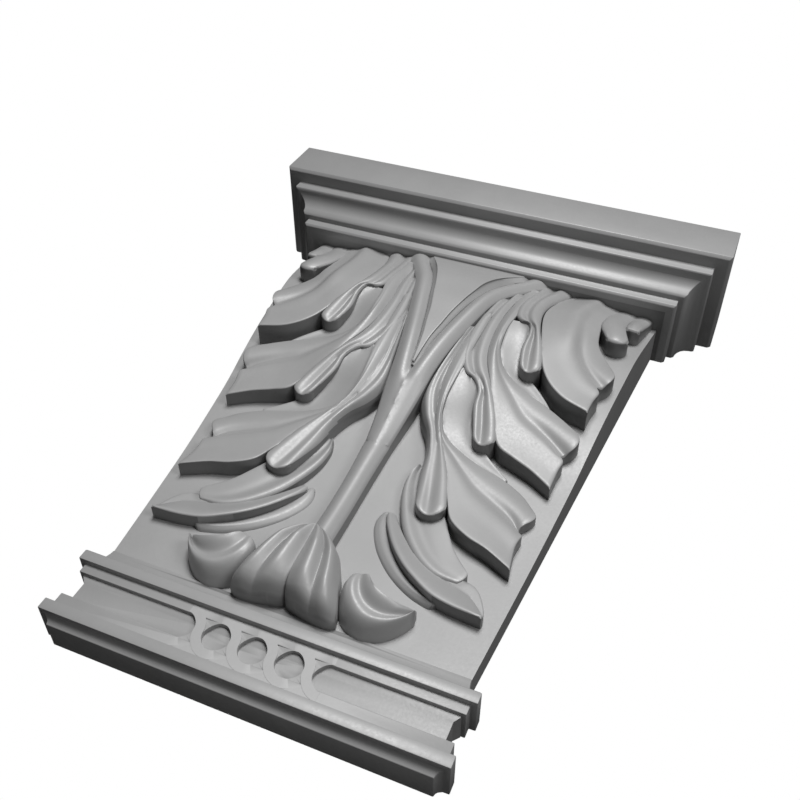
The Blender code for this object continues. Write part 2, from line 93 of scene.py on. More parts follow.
# Mouldings: (setback from the widest line, down), the same on the front and on both returns.
ABACUS = (
    (0.0, 0.0), (0.0, 24.2), (1.4, 25.7), (7.3, 25.8), (7.3, 31.4), (8.0, 31.9), (9.4, 32.1),
    (11.6, 32.8), (13.3, 34.0), (14.6, 35.8), (15.4, 37.6), (15.9, 40.3), (17.1, 41.5), (19.5, 41.6),
    (19.5, 45.9), (20.5, 47.0), (24.0, 47.0),
)
FOOT = (
    (6.1, 264.0), (5.9, 266.0), (5.4, 268.4), (4.6, 270.4), (0.6, 271.2), (0.0, 271.6), (0.0, 276.0),
    (2.5, 276.1), (2.5, 279.9), (5.2, 280.0), (6.5, 280.3), (7.4, 281.0), (8.0, 282.6), (8.0, 289.4),
    (7.4, 290.3), (6.6, 290.7), (2.6, 290.8), (2.6, 296.0), (0.2, 296.1), (0.2, 300.9), (2.7, 301.0),
    (3.8, 301.6), (4.5, 302.4), (4.9, HEIGHT),
)

# The bell: (down, depth of its face). Its sides lean out evenly towards the top.
BELL = (
    (40.0, 16.9), (47.0, 18.4), (63.0, 21.7), (76.0, 24.3), (88.0, 25.5), (104.0, 24.7), (122.0, 23.1),
    (140.0, 20.3), (160.0, 16.1), (180.0, 13.7), (205.0, 11.7), (235.0, 10.9), (268.0, 10.6),
)
BELL_HALF_WIDTH = 97.7
BELL_TAPER = 0.086
BELL_ENDS = (42, 266)
BELL_ROWS = 113

# How far the carving's forms run into the bell.
ROOT_DEPTH = 3.0

# Cross-sections of the carving. Each knot is (place at the root, rise there, place at the tip, rise
# there), with places from 0 at the outer edge to 1 at the inner edge.
FIRST_BLADE = (
    (0, 0, 0, 0), (0.06, 0.2, 0.1, 0.9), (0.12, 0.45, 0.22, 1.3), (0.2, 0.8, 0.34, 0.5),
    (0.28, 1.25, 0.42, -1.6), (0.44, 3.3, 0.52, 0.7), (0.72, 1.6, 0.78, 0.1), (1, 0, 1, 0),
)
NEXT_BLADE = (
    (0, 0, 0, 0), (0.06, 0.2, 0.1, 0.9), (0.12, 0.4, 0.22, 1.3), (0.2, 0.6, 0.34, 0.5),
    (0.3, 0.8, 0.42, -1.6), (0.45, 0.9, 0.52, 0.7), (0.7, 0.4, 0.78, 0.1), (1, -1.0, 1, 0),
)
HOOK = (
    (0, -2.5, 0, 0), (0.2, -0.4, 0.2, 0.3), (0.42, 0.3, 0.4, -0.6), (0.6, -1.4, 0.58, -2.0),
    (0.8, 0.4, 0.78, 0.2), (1, -0.6, 1, 0),
)
LOWER_HOOK = (
    (0, -2.5, 0, 0), (0.2, -0.2, 0.2, 0.3), (0.38, -1.0, 0.4, -0.4), (0.58, 0.4, 0.58, -1.9),
    (0.76, -0.3, 0.78, 0.2), (1, -5.5, 1, 0),
)
CURL = ((0, 0, 0, 0), (0.5, 0.6, 0.5, 1.8), (1, 0, 1, 0))
PLAIN = ((0, 0, 0, 0), (1, 0, 1, 0))
BOWL = ((0, 0, 0, 0), (0.45, -0.9, 0.5, -0.2), (1, 0, 1, 0))
ROLL = ((0, 0, 0, 0), (0.3, 0.4, 0.3, 0.4), (0.75, 0.7, 0.75, 0.5), (1, 0, 1, 0))
FLAP = (
    (0, 0, 0, 0), (0.4, -0.5, 0.5, 0.2), (0.64, -1.2, 0.7, 0.2), (0.88, 0.4, 0.9, 0), (1, -1.0, 1, -0.8),
)
CORD = ((0, 0, 0, 0), (0.25, 2.4, 0.25, 2.5), (0.5, 3.2, 0.5, 3.5), (0.75, 2.4, 0.75, 2.5), (1, 0, 1, 0))

# The lobes of one half-leaf: section, tip, then the outer and the inner edge from root to tip as
# (out, down, rise). A tip is either the points of its edge, as (out, down), or its roundness, 1 for
# a half circle.
LOBES = {
    "small curl": (CURL, 0.9,
        ((91.5, 43, 4.6), (90.6, 52, 5.6), (89.4, 60, 7.0), (88.4, 66.5, 8.2)),
        ((82.0, 43, 4.4), (81.6, 52, 5.8), (81.2, 60, 7.8), (81.2, 67.0, 9.2))),
    "large curl": (CURL, 0.9,
        ((84.6, 43, 5.0), (82.2, 53, 6.0), (81.4, 63, 7.8), (82.4, 72, 9.4), (85.2, 79.5, 8.8)),
        ((74.0, 43, 5.2), (72.0, 53, 7.0), (70.4, 63, 9.0), (70.6, 73, 9.8), (74.6, 82.0, 9.4))),
    "upper blade": (
        FIRST_BLADE,
        ((83.6, 103), (85.3, 107.5), (84.4, 112.5), (81.4, 116.8), (80.2, 119.4), (81.8, 122.4),
         (80.6, 128), (80.0, 135.3)),
        ((76.0, 43, 5.6), (73.0, 56, 7.2), (71.0, 68, 8.0), (71.6, 80, 8.0), (74.2, 90, 6.8),
         (83.6, 103, 6.6)),
        ((50.0, 43, 6.8), (45.6, 62, 10.0), (44.6, 82, 12.4), (50.0, 105, 13.6), (56.4, 121, 12.6),
         (66.5, 130.8, 12.0), (80.0, 135.3, 11.5))),
    "upper hook": (HOOK, 0.95,
        ((51.4, 43, 10.2), (47.6, 55, 12.0), (44.8, 68, 13.8), (44.2, 82, 15.2), (47.0, 96, 15.8),
         (51.8, 108, 14.4), (54.2, 117.6, 12.8)),
        ((35.0, 43, 9.6), (33.6, 60, 12.0), (32.6, 78, 14.4), (33.2, 89, 15.2), (36.4, 93.6, 15.4),
         (41.0, 95.2, 15.4), (42.6, 101, 15.2), (42.2, 110, 14.0), (44.2, 118.4, 12.8))),
    "upper bowl": (BOWL, 0.0,
        ((40.0, 92.5, 15.2), (45.0, 99, 13.2), (46.2, 108, 9.6), (47.2, 115, 7.8), (51.0, 121, 6.6),
         (56.0, 125.6, 6.2), (61.5, 131.0, 5.8), (65.8, 136.4, 5.6)),
        ((32.2, 94, 14.2), (31.4, 101, 14.0), (31.8, 109, 12.6), (34.4, 116.4, 10.2), (39.4, 122.6, 8.0),
         (46.5, 127.2, 6.8), (54.5, 132.0, 6.2), (62.6, 137.8, 5.8))),
    "middle blade": (
        NEXT_BLADE,
        ((78.5, 142.5), (80.6, 147.0), (79.6, 151.5), (76.8, 154.8), (75.6, 157.0), (77.2, 159.6),
         (76.4, 165), (76.0, 174.3)),
        ((38.0, 56, 10.4), (35.4, 76, 13.0), (33.8, 90, 14.3), (32.7, 98, 14.4), (32.6, 105, 14.2),
         (33.6, 113, 12.0), (37.6, 119.8, 9.0), (45.0, 125.0, 7.0), (55.0, 130, 6.2), (66.0, 135.0, 5.8),
         (78.5, 142.5, 6.0)),
        ((28.6, 56, 11.8), (28.4, 78, 13.0), (27.0, 100, 13.4), (29.0, 118, 13.0), (36.0, 134, 12.3),
         (43.0, 149, 11.2), (48.6, 161.4, 10.0), (57.0, 165.4, 9.0), (66.0, 168.8, 8.2),
         (76.0, 174.3, 7.2))),
    "middle hook": (HOOK, 0.95,
        ((31.0, 56, 11.8), (29.4, 76, 13.2), (28.2, 98, 13.6), (30.0, 119, 13.2), (36.6, 134, 12.4),
         (43.4, 148, 11.3), (47.6, 159.6, 10.5)),
        ((24.0, 64, 13.0), (19.6, 86, 13.2), (17.0, 106, 13.2), (18.6, 122, 13.2), (23.0, 131.4, 13.2),
         (28.4, 134.6, 13.0), (32.0, 140.0, 12.4), (33.0, 148, 11.6), (37.6, 160.6, 10.4))),
    "lower bowl": (BOWL, 0.0,
        ((29.0, 131.0, 13.2), (34.6, 138, 11.6), (36.2, 147, 8.6), (38.2, 156, 6.2), (43.8, 163.0, 5.2),
         (50.5, 168.2, 4.4), (57.8, 173.0, 3.6)),
        ((21.2, 130, 12.6), (19.2, 138, 11.8), (18.8, 147, 10.4), (20.8, 156.8, 8.0), (27.8, 165.4, 5.8),
         (38.6, 171.2, 4.7), (56.6, 176.4, 3.4))),
    "lower blade": (
        NEXT_BLADE,
        ((72.5, 184), (74.6, 187.4), (73.8, 190.8), (71.4, 194.0), (70.2, 196.4), (72.4, 199.4),
         (71.8, 207), (73.4, 218.4)),
        ((22.4, 92, 12.6), (21.8, 112, 12.8), (21.6, 128, 13.0), (20.9, 138, 12.6), (20.5, 146, 11.4),
         (21.6, 154.4, 9.2), (25.6, 161.8, 7.0), (34.0, 166.6, 5.4), (44.0, 170.4, 4.5),
         (57.0, 173.8, 3.4), (66.2, 178.4, 3.0), (72.5, 184, 2.8)),
        ((17.8, 92, 12.6), (15.0, 116, 12.2), (14.4, 134, 11.6), (16.0, 150, 10.4), (21.5, 164, 9.8),
         (28.6, 176, 9.4), (35.0, 186, 9.2), (40.0, 197, 9.3), (44.4, 205, 9.3), (53.0, 210.2, 8.9),
         (62.0, 213, 8.4), (73.4, 218.4, 7.6))),
    "lower hook": (LOWER_HOOK, 0.95,
        ((19.0, 98, 12.8), (16.6, 120, 12.4), (16.4, 138, 11.8), (20.2, 153, 10.8), (27.4, 168, 10.0),
         (35.0, 183, 9.6), (40.4, 198.6, 9.2)),
        ((13.5, 108, 12.5), (10.4, 128, 11.6), (8.6, 146, 10.2), (12.4, 156.6, 9.8), (18.0, 165, 9.5),
         (21.6, 174.8, 9.2), (23.6, 186.4, 9.0), (28.0, 201.2, 8.9))),
    "last flap": (
        FLAP,
        ((58.0, 222.8), (58.9, 224.6), (58.0, 227.4), (56.0, 229.8)),
        ((24.6, 177.0, 3.4), (31.0, 187, 4.0), (37.0, 195.5, 4.4), (42.0, 203, 4.5), (45.4, 208.4, 4.4),
         (49.0, 213.8, 4.3), (53.4, 218.6, 4.2), (58.0, 222.8, 4.2)),
        ((19.8, 178.4, 3.4), (18.2, 184.0, 3.9), (18.8, 193, 4.4), (22.4, 203.6, 4.8), (28.0, 214.0, 5.0),
         (36.6, 223.4, 4.9), (46.4, 229.0, 4.7), (56.0, 229.8, 4.2))),
    "last leaf": (PLAIN, 0.3,
        ((48.0, 222, 3.4), (57.0, 226.4, 3.6), (62.6, 227.8, 3.8), (66.6, 231.4, 3.8), (69.8, 237.0, 3.8),
         (70.9, 241.4, 3.8)),
        ((44.0, 229, 3.4), (54.0, 234, 3.4), (60.0, 236.0, 3.4), (64.0, 238.2, 3.4), (67.6, 240.8, 3.4),
         (70.0, 242.4, 3.6))),
    "long blade": (ROLL, 0.0,
        ((22.0, 206.8, 2.6), (24.8, 210.2, 3.1), (28.8, 214.8, 3.3), (36.4, 221.8, 3.4),
         (46.4, 227.6, 3.5), (56.5, 231.0, 3.6), (64.0, 233.8, 3.8), (70.8, 240.8, 5.0)),
        ((18.0, 208.0, 3.0), (19.7, 211.8, 4.3), (22.2, 216.0, 5.2), (25.5, 221.0, 5.9),
         (29.3, 225.6, 6.3), (34.0, 230.2, 6.7), (39.6, 234.4, 6.9), (48.6, 239.6, 6.9),
         (57.6, 241.8, 6.9), (66.0, 242.6, 7.1), (70.6, 242.9, 7.3))),
    "long skirt": (CURL, 0.0,
        ((19.6, 205.2, 1.2), (21.2, 211.0, 1.4), (25.6, 219.4, 1.5), (34.0, 228.4, 1.6),
         (43.0, 235.0, 1.6), (54.0, 239.4, 1.4)),
        ((15.2, 206.4, 1.0), (14.2, 210.4, 1.0), (15.8, 216.2, 1.0), (20.2, 223.6, 1.1),
         (26.2, 230.2, 1.2), (33.0, 235.6, 1.2), (41.2, 240.0, 1.2), (50.0, 242.6, 1.0))),
}

# The forked stem: one of its branches, and the edge of its trunk. The raised panel between the
# branches has a rim, and a bevel on each side.
BRANCH = (CORD, 0.0,
    ((41.0, 43, 8.6), (35.4, 53, 10.6), (27.4, 68, 12.8), (21.4, 81, 13.6), (16.6, 100, 13.4),
     (12.6, 119, 12.6), (10.0, 135, 11.4), (8.9, 146, 9.9), (8.1, 153, 8.9), (6.9, 163, 7.5),
     (5.5, 178, 5.6), (4.4, 196, 3.6)),
    ((27.4, 43, 11.6), (22.6, 56, 12.4), (16.0, 69, 13.4), (12.6, 79, 13.8), (7.4, 99, 13.6),
     (3.2, 119, 13.4), (0.2, 135, 12.5), (-2.4, 146, 10.9), (-4.0, 153, 9.4), (-5.2, 163, 7.6),
     (-5.2, 178, 5.5), (-4.2, 196, 3.4)))
TRUNK_EDGE = ((6.0, 168, 4.6), (5.7, 178, 5.8), (5.1, 196, 5.9), (5.0, 214, 5.9), (5.0, 238, 6.4))
TRUNK = (CORD, 0.0, TRUNK_EDGE, tuple((-out, down, rise) for out, down, rise in TRUNK_EDGE))
PANEL_RIM = (
    (27.0, 43, 12.6), (21.6, 54, 16.0), (16.3, 65, 18.4), (12.3, 75, 18.8), (9.7, 84, 17.9),
    (7.4, 93, 17.7), (5.2, 102, 17.3), (3.6, 111.4, 16.9), (1.8, 121, 16.3), (0.5, 136, 15.1),
)
PANEL = (PLAIN, 0.0, PANEL_RIM, tuple((-out, down, rise) for out, down, rise in PANEL_RIM))
BEVEL = (PLAIN, 0.0,
    ((29.6, 43.6, 11.0), (24.2, 54.6, 13.0), (18.4, 65.4, 14.2), (14.4, 75.4, 14.6), (11.6, 84.4, 14.6),
     (9.2, 93.4, 14.8), (7.0, 102.4, 14.6), (5.1, 111.6, 14.4), (3.2, 121.2, 14.0), (1.1, 137, 13.0)),
    ((26.4, 43.6, 12.9), (21.0, 54.6, 15.9), (15.7, 65.4, 18.1), (11.7, 75.4, 18.4), (9.1, 84.4, 17.5),
     (6.8, 93.4, 17.3), (4.6, 102.4, 16.9), (3.0, 111.6, 16.5), (1.2, 121.2, 15.9), (-0.2, 137, 14.4)))

# The bud's fluted bulb: its rise in front of the bell and half its width along its length, and the
# places of its creases, from 0 at the middle to 1 at the side. Its foot is an arc on each side, and
# its flutes grow out of the tip over the first stretch.
BULB_TIP = 233.4
BULB_FOOT = 260.8
FOOT_ARC = 5.8
FOOT_CORNER = 0.5
BULB_RISE = ((0.0, 17.4), (0.2, 16.2), (0.6, 15.2), (0.76, 14.3), (0.88, 12.6), (0.95, 9.8), (1.0, 5.0))
BULB_WIDTH = (
    (0.0, 0.6), (0.05, 5.4), (0.135, 9.8), (0.28, 13.9), (0.48, 16.9), (0.65, 18.7), (0.82, 20.6),
    (1.0, 22.0),
)
BULB_CREASES = (0.0, 0.54, 1.0)
FLUTE_RISE = 3.2
FLUTE_LEAN = 1.15
BULB_SHOULDER = 0.3
FLUTE_START = 0.25
BUD_HALF_WIDTH = 50

# The bud's curled side lobe: the outline below it from the far end to the tip, and its upper edge.
SIDE_LOBE = (
    ((0, 0, 0, 0), (0.04, 2.0, 0.04, 2.2), (0.12, 4.2, 0.12, 4.6), (0.25, 5.6, 0.25, 6.2),
     (0.38, 5.0, 0.38, 5.6), (0.5, 3.0, 0.5, 3.4), (0.59, 1.3, 0.59, 1.5), (0.8, 1.3, 0.8, 1.6),
     (0.92, 0.8, 0.92, 1.0), (1, 0, 1, 0)),
    0.8,
    ((47.8, 251.2, 2.2), (44.8, 257.0, 1.4), (39.0, 262.6, 1.0), (32.0, 265.0, 1.0), (25.6, 263.2, 1.4),
     (20.4, 258.6, 2.4), (18.6, 252.6, 5.0), (19.8, 248.4, 8.0)),
    ((47.4, 247.6, 4.6), (45.4, 249.2, 8.0), (41.4, 250.9, 11.4), (36.0, 250.9, 13.8),
     (31.4, 249.2, 14.4), (28.4, 246.6, 13.4)))

# The woven band on the foot, and the floor behind it: (half width, depth, down). A power below 1
# widens the straps' waves into rings.
BAND_FLOOR = ((77.0, 13.1, 278.0), (77.0, 13.1, 280.2), (75.0, 12.25, 282.6), (75.0, 12.25, 293.0))
WEAVE_DOWN = 285.55
WEAVE_HALF_HEIGHT = 7.75
WEAVE_PITCH = 14.8
WEAVE_CROSSINGS = 4
STRAP_WIDTH = 3.8
STRAP_DEPTH = FOOT_DEPTH - 2.48
STRAP_ROOT = FOOT_DEPTH - 10.0
RING_POWER = 0.52
UNDER_DROP = 0.5

# How much rounder or sharper than the rest some lobes' edges are.
RIM_SHARES = {
    "small curl": 2.6, "large curl": 2.4, "upper hook": 1.5, "middle hook": 1.5, "lower hook": 1.5,
    "long blade": 1.3, "long skirt": 2.6, "branch": 0.8, "bevel": 0.5, "panel": 0.5, "side lobe": 1.6,
}

# Lobes whose root is a rounded nose as well: their roundness there.
ROUND_ROOTS = {"long blade": 0.9, "long skirt": 0.9}

# Fineness: lengths of the cells along and across a lobe, the steps of a rounded rim as shares of its
# radius, and the steps of a curve between two of its points, along an edge and along the bell.
CELL_LENGTH = 1.7
CELL_WIDTH = 0.8
RIM_STEPS = (0.0, 0.08, 0.3, 0.62, 1.0)
SPAN_STEPS = 16
EDGE_STEPS = 60
BELL_STEPS = 200

# A rim takes at most this share of a narrow lobe's width, a lobe bends to its tip over at least this
# length, and the grooves of a round tip end over this length before it.
RIM_LIMIT = 0.35
TIP_REACH = 14.0
GROOVE_END = 4.0

# Melting: the least slope towards the front and the longest cell that melt, and the passes. The fork
# of the stem, (half width, top, bottom), takes more.
MELT_SLOPE = 0.55
MELT_REACH = 3.0
MELT_PASSES = 8
FORK = (9.0, 143.0, 176.0)
FORK_PASSES = 30

# A join that failed leaves fewer faces than this.
FEWEST_FACES = 1000

# Hollows, darkened by the stone as painted shade: the value of an even surface and how fast it grows
# with depth, the least value of a wall, which paints shade on the leaves' steep walls, the most that a
# wall may face the front, and how near to the bell's surface its own faces lie.
EVEN = 0.5
HOLLOW_GAIN = 2.5
WALL_SHADE_VALUE = 0.9
WALL_SLOPE = 0.3
BELL_TOLERANCE = 0.05

# Corners sharper than the first angle stay sharp, and the mouldings' above the second are eased.
SHARP_ANGLE = math.radians(38)
ARRIS_ANGLE = math.radians(35)

# The stone: ranges of noise and hollowness that tones run over, shares of its colour in the painted
# shade of hollows and walls and on worn arrises, its gloss, and the grain's roughness and height in metres.
NOISE_RANGE = (0.3, 0.7)
PAINTED_SHADE_RANGE = (0.55, 0.9)
WORN_RANGE = (0.42, 0.1)
PAINTED_SHADE_SHARE = 0.35
WORN_SHARE = 1.5
GLOSS = 0.8
GRAIN_ROUGHNESS = 0.05
GRAIN_HEIGHT = 0.0001

# The camera, as fitted to the mouldings: place in millimetres from the middle of the top edge, its
# right, down and forward directions, and its focal length as a share of the picture's side. Below,
# the beams' angle, the places of the lights in metres, and the floor.
CAMERA_PLACE = (126.5, -305.7, -449.5)
CAMERA_AXES = ((0.92111, 0.00120, 0.38930), (0.25412, 0.75572, -0.60359), (-0.29492, 0.65490, 0.69579))
FOCAL_SHARE = 965.685 / 800
SENSOR = 36.0
BEAM = 50
KEY_PLACE = (0.05, -1.38, 0.36)
FILL_PLACE = (0.92, -1.05, -0.08)
BACK_PLACE = (-0.5, 1.3, 0.4)
FLOOR_HALF_WIDTH = 3.0
FLOOR_COLOUR = (0.75, 0.75, 0.75, 1)
WHITE = (1, 1, 1, 1)


def world(out, down, depth):
    """Points in metres: out to +X, the front to -Y, and the origin at the middle of the back."""
    return np.stack([out, -depth, TOP - down], axis=-1) * MM


def smooth_curve(points, count):
    """Catmull-Rom spans through the points, read off at even steps of their length on the face."""
    knots = np.asarray(points, float)
    knots = np.vstack([2 * knots[0] - knots[1], knots, 2 * knots[-1] - knots[-2]])
    u = np.linspace(0, 1, SPAN_STEPS + 1)[:, None]
    before, start, end, after = (knots[k:len(knots) - 3 + k, None, :] for k in range(4))
    spans = 0.5 * (2 * start + (end - before) * u + (2 * before - 5 * start + 4 * end - after) * u**2
                   + (3 * start - before - 3 * end + after) * u**3)
    line = np.vstack([spans[:, :-1].reshape(-1, knots.shape[1]), knots[-2]])
    return read_off(line, np.linspace(0, 1, count) if np.isscalar(count) else count)


def read_off(line, shares):
    """A polyline read at shares of its length, measured in its first two coordinates."""
    length = np.concatenate([[0], np.cumsum(np.hypot(*np.diff(line[:, :2], axis=0).T))])
    return np.stack([np.interp(shares * length[-1], length, column) for column in line.T], axis=1)


def curve_length(points):
    """Length of a smooth curve on the face."""
    return np.hypot(*np.diff(smooth_curve(points, EDGE_STEPS)[:, :2], axis=0).T).sum()


def bell_depth(down):
    """Depth of the bell's face at each level, on one smooth curve through its profile."""
    line = smooth_curve(BELL, BELL_STEPS)
    return np.interp(down, line[:, 0], line[:, 1])


def section_rise(section, s, t):
    """Rise across a lobe: one smooth curve through knots that slide from the root to the tip.

    They slide with the cube of the length, so most of the change comes near the tip. At each knot
    the curve is parallel to the line between the knots on its two sides.
    """
    last = len(section) - 1
    place = [a + (c - a) * s**3 for a, _, c, _ in section]
    height = [b + (d - b) * s**3 for _, b, _, d in section]
    around = [(max(k - 1, 0), min(k + 1, last)) for k in range(last + 1)]
    slope = [(height[b] - height[a]) / (place[b] - place[a]) for a, b in around]
    rise = np.zeros(np.broadcast(s, t).shape)
    for k in range(last):
        span = place[k + 1] - place[k]
        u = np.clip((t - place[k]) / span, 0, 1)
        start = height[k] * (1 + 2 * u) + span * slope[k] * u
        end = height[k + 1] * (3 - 2 * u) - span * slope[k + 1] * (1 - u)
        rise = np.where(t >= place[k], start * (1 - u) ** 2 + end * u**2, rise)
    return rise


def row_shares(length, rim, root):
    """Places of the rows: even steps of about one cell, with the steps of a rounded tip and root."""
    steps = np.array(RIM_STEPS) * rim / length
    count = max(4, round(length / CELL_LENGTH))
    start = steps if root else steps[:1]
    return np.concatenate([start, np.linspace(start[-1], 1 - steps[-1], count)[1:-1], 1 - steps[::-1]])


def column_shares(width, rim):
    """Places of the columns in each row: the rounded rim's steps at both edges, even steps between."""
    near = np.array(RIM_STEPS) * np.minimum(rim, RIM_LIMIT * width)[:, None] / width[:, None]
    count = max(4, round(width.max() / CELL_WIDTH))
    middle = np.linspace(0, 1, count)[None, 1:-1]
    between = near[:, -1:] + (1 - 2 * near[:, -1:]) * middle
    return np.hstack([near, between, 1 - near[:, ::-1]])


def rim_drop(edge, tip, rim):
    """How far a rounded rim falls: a quarter circle over the distances to the side and to the tip."""
    p = np.clip(1 - edge / rim, 0, 1)
    q = np.clip(1 - tip / rim, 0, 1)
    return rim * (1 - np.sqrt(np.clip(1 - p**2 - q**2, 0, 1)))


def tip_shift(tip, ends, t):
    """From the straight last row to the tip's edge: its own curve, or a half ellipse of that roundness."""
    start, end = ends
    row = start * (1 - t) + end * t
    if isinstance(tip, tuple):
        return smooth_curve(tip, t[:, 0]) - row
    across = end - start
    return np.sqrt(np.clip(1 - (2 * t - 1) ** 2, 0, 1)) * np.array([across[1], -across[0]]) * tip / 2


def lobe_grid(shape, rim, root=0.0):
    """A lobe's top as rows from root to tip and columns from the outer to the inner edge.

    Each row is a straight line between the two edge curves. Over the last stretch the rows bend to
    the tip's edge, and likewise at a round root. The section's waves are added to the rise, and the
    rim is rounded.
    """
    section, tip, outer, inner = shape
    length = (curve_length(outer) + curve_length(inner)) / 2
    s = row_shares(length, rim, root)
    a, b = smooth_curve(outer, s), smooth_curve(inner, s)
    width = np.maximum(np.hypot(*(a - b)[:, :2].T), 0.5)
    t = column_shares(width, rim)
    top = a[:, None, :] * (1 - t[..., None]) + b[:, None, :] * t[..., None]
    shift = tip_shift(tip, (a[-1, :2], b[-1, :2]), t[-1][:, None])
    to_tip = (1 - s)[:, None] * length
    bend = np.clip(1 - to_tip / max(TIP_REACH, 3 * np.abs(shift).max()), 0, 1) ** 2
    top[..., :2] += bend[..., None] * shift
    from_root = s[:, None] * length
    if root:
        nose = tip_shift(root, (b[0, :2], a[0, :2]), t[0][:, None])
        bend = np.clip(1 - from_root / (3 * np.abs(nose).max()), 0, 1) ** 2
        top[..., :2] += bend[..., None] * nose
    to_edge = np.minimum(t, 1 - t) * width[:, None]
    waves = section_rise(section, s[:, None], t)
    if not isinstance(tip, tuple) and tip > 0.5:
        waves = waves * np.clip(to_tip / GROOVE_END, 0, 1) ** 0.5
    to_end = np.minimum(to_tip, from_root) if root else to_tip
    top[..., 2] += waves - rim_drop(to_edge, to_end, rim)
    return top


def closed_form(name, top, side):
    """A grid's top, straight walls along the depth and a floor inside the bell, as one closed mesh."""
    rows, columns = top.shape[:2]
    out, down, rise = top[..., 0] * side, top[..., 1], top[..., 2]
    face = bell_depth(down)
    upper = world(out, down, face + rise).reshape(-1, 3)
    lower = world(out, down, face - ROOT_DEPTH).reshape(-1, 3)
    index = np.arange(rows * columns).reshape(rows, columns)
    quads = np.stack([index[:-1, :-1], index[:-1, 1:], index[1:, 1:], index[1:, :-1]], -1).reshape(-1, 4)
    rim = np.concatenate([index[0, :-1], index[:-1, -1], index[-1, :0:-1], index[:0:-1, 0]])
    ahead = np.roll(rim, -1)
    under = rows * columns
    walls = np.stack([ahead, rim, rim + under, ahead + under], -1)
    faces = np.vstack([quads, quads[:, ::-1] + under, walls])
    return form(name, np.vstack([upper, lower]), faces if side > 0 else faces[:, ::-1])


def form(name, vertices, faces):
    """A mesh object from arrays, kept among the bracket's forms."""
    mesh = bpy.data.meshes.new(name)
    mesh.from_pydata(vertices.tolist(), [], [tuple(face) for face in np.asarray(faces).tolist()])
    mesh.update()
    piece = bpy.data.objects.new(name, mesh)
    forms().objects.link(piece)
    return piece


def forms():
    """The collection that holds the bracket's forms until they are joined."""
    found = bpy.data.collections.get("Forms")
    if found is None:
        found = bpy.data.collections.new("Forms")
        bpy.context.scene.collection.children.link(found)
    return found


def carve(name, shape, rim, sides=(-1, 1)):
    """A lobe and its mirror twin, with its own share of the rim."""
    grid = lobe_grid(shape, rim * RIM_SHARES.get(name, 1.0), ROUND_ROOTS.get(name, 0.0))
    for side in sides:
        closed_form(f"{name} {side}", grid, side)


def stacked_block(name, widths, depths, downs):
    """Half widths and depths at a row of levels, joined level to level, with a flat back."""
    corners = np.array([(-1, 0), (-1, 1), (1, 1), (1, 0)])
    out = np.outer(widths, corners[:, 0])
    depth = np.outer(depths, corners[:, 1])
    down = np.repeat(np.asarray(downs, float)[:, None], 4, axis=1)
    vertices = world(out, down, depth).reshape(-1, 3)
    a = 4 * np.arange(len(widths) - 1)[:, None] + np.arange(4)[None, :]
    b = 4 * np.arange(len(widths) - 1)[:, None] + (np.arange(4)[None, :] + 1) % 4
    sides = np.stack([a, a + 4, b + 4, b], -1).reshape(-1, 4)
    last = 4 * (len(widths) - 1)
    return form(name, vertices, np.vstack([[0, 1, 2, 3], sides, [last + 3, last + 2, last + 1, last]]))


def moulding(name, profile, half_width, depth, arris):
    """A moulding with equal returns, its arrises eased by a small bevel."""
    setback, down = np.array(profile).T
    block = stacked_block(name, half_width - setback, depth - setback, down)
    ease = block.modifiers.new("Arris", "BEVEL")
    ease.width = arris * MM
    ease.segments = 2
    ease.limit_method = "ANGLE"
    ease.angle_limit = ARRIS_ANGLE
    return block


def bell(name):
    """The tapering body, its front curved like a flat S."""
    downs = np.linspace(*BELL_ENDS, BELL_ROWS)
    return stacked_block(name, BELL_HALF_WIDTH - BELL_TAPER * downs, bell_depth(downs), downs)


def flute_rise(places):
    """Leaning arches between the creases: each is a sine of a power of its own share, prouder outwards."""
    rise = np.zeros_like(places)
    for start, end in zip(BULB_CREASES, BULB_CREASES[1:]):
        share = np.clip((places - start) / (end - start), 0, 1)
        rise += np.sin(np.pi * share**FLUTE_LEAN) * FLUTE_RISE
    return rise


def bulb(name, rows=60, columns=133):
    """The bud's middle: flutes that fan out from its tip and turn under at its foot.

    Its rise is the profile along its length, lower towards the sides by a power of the share, plus
    the flutes, which grow out of the tip and weaken towards the foot. The foot drops by a power of the
    share, and its corners lift again.
    """
    s = np.linspace(0, 1, rows)[:, None]
    t = np.linspace(1, -1, columns)[None, :]
    width = np.interp(s, *smooth_curve(BULB_WIDTH, EDGE_STEPS).T)
    rise = np.interp(s, *smooth_curve(BULB_RISE, EDGE_STEPS).T)
    fade = np.clip(s / FLUTE_START, 0, 1) ** 0.7 * (1 - 0.5 * s**6)
    foot = BULB_FOOT + FOOT_ARC * np.abs(t) ** 0.45 * (1 - FOOT_CORNER * t**8)
    down = BULB_TIP + (foot - BULB_TIP) * s
    height = rise * (1 - BULB_SHOULDER * t**6) + flute_rise(np.abs(t)) * fade
    return closed_form(name, np.stack(np.broadcast_arrays(t * width, down, height), -1), 1)


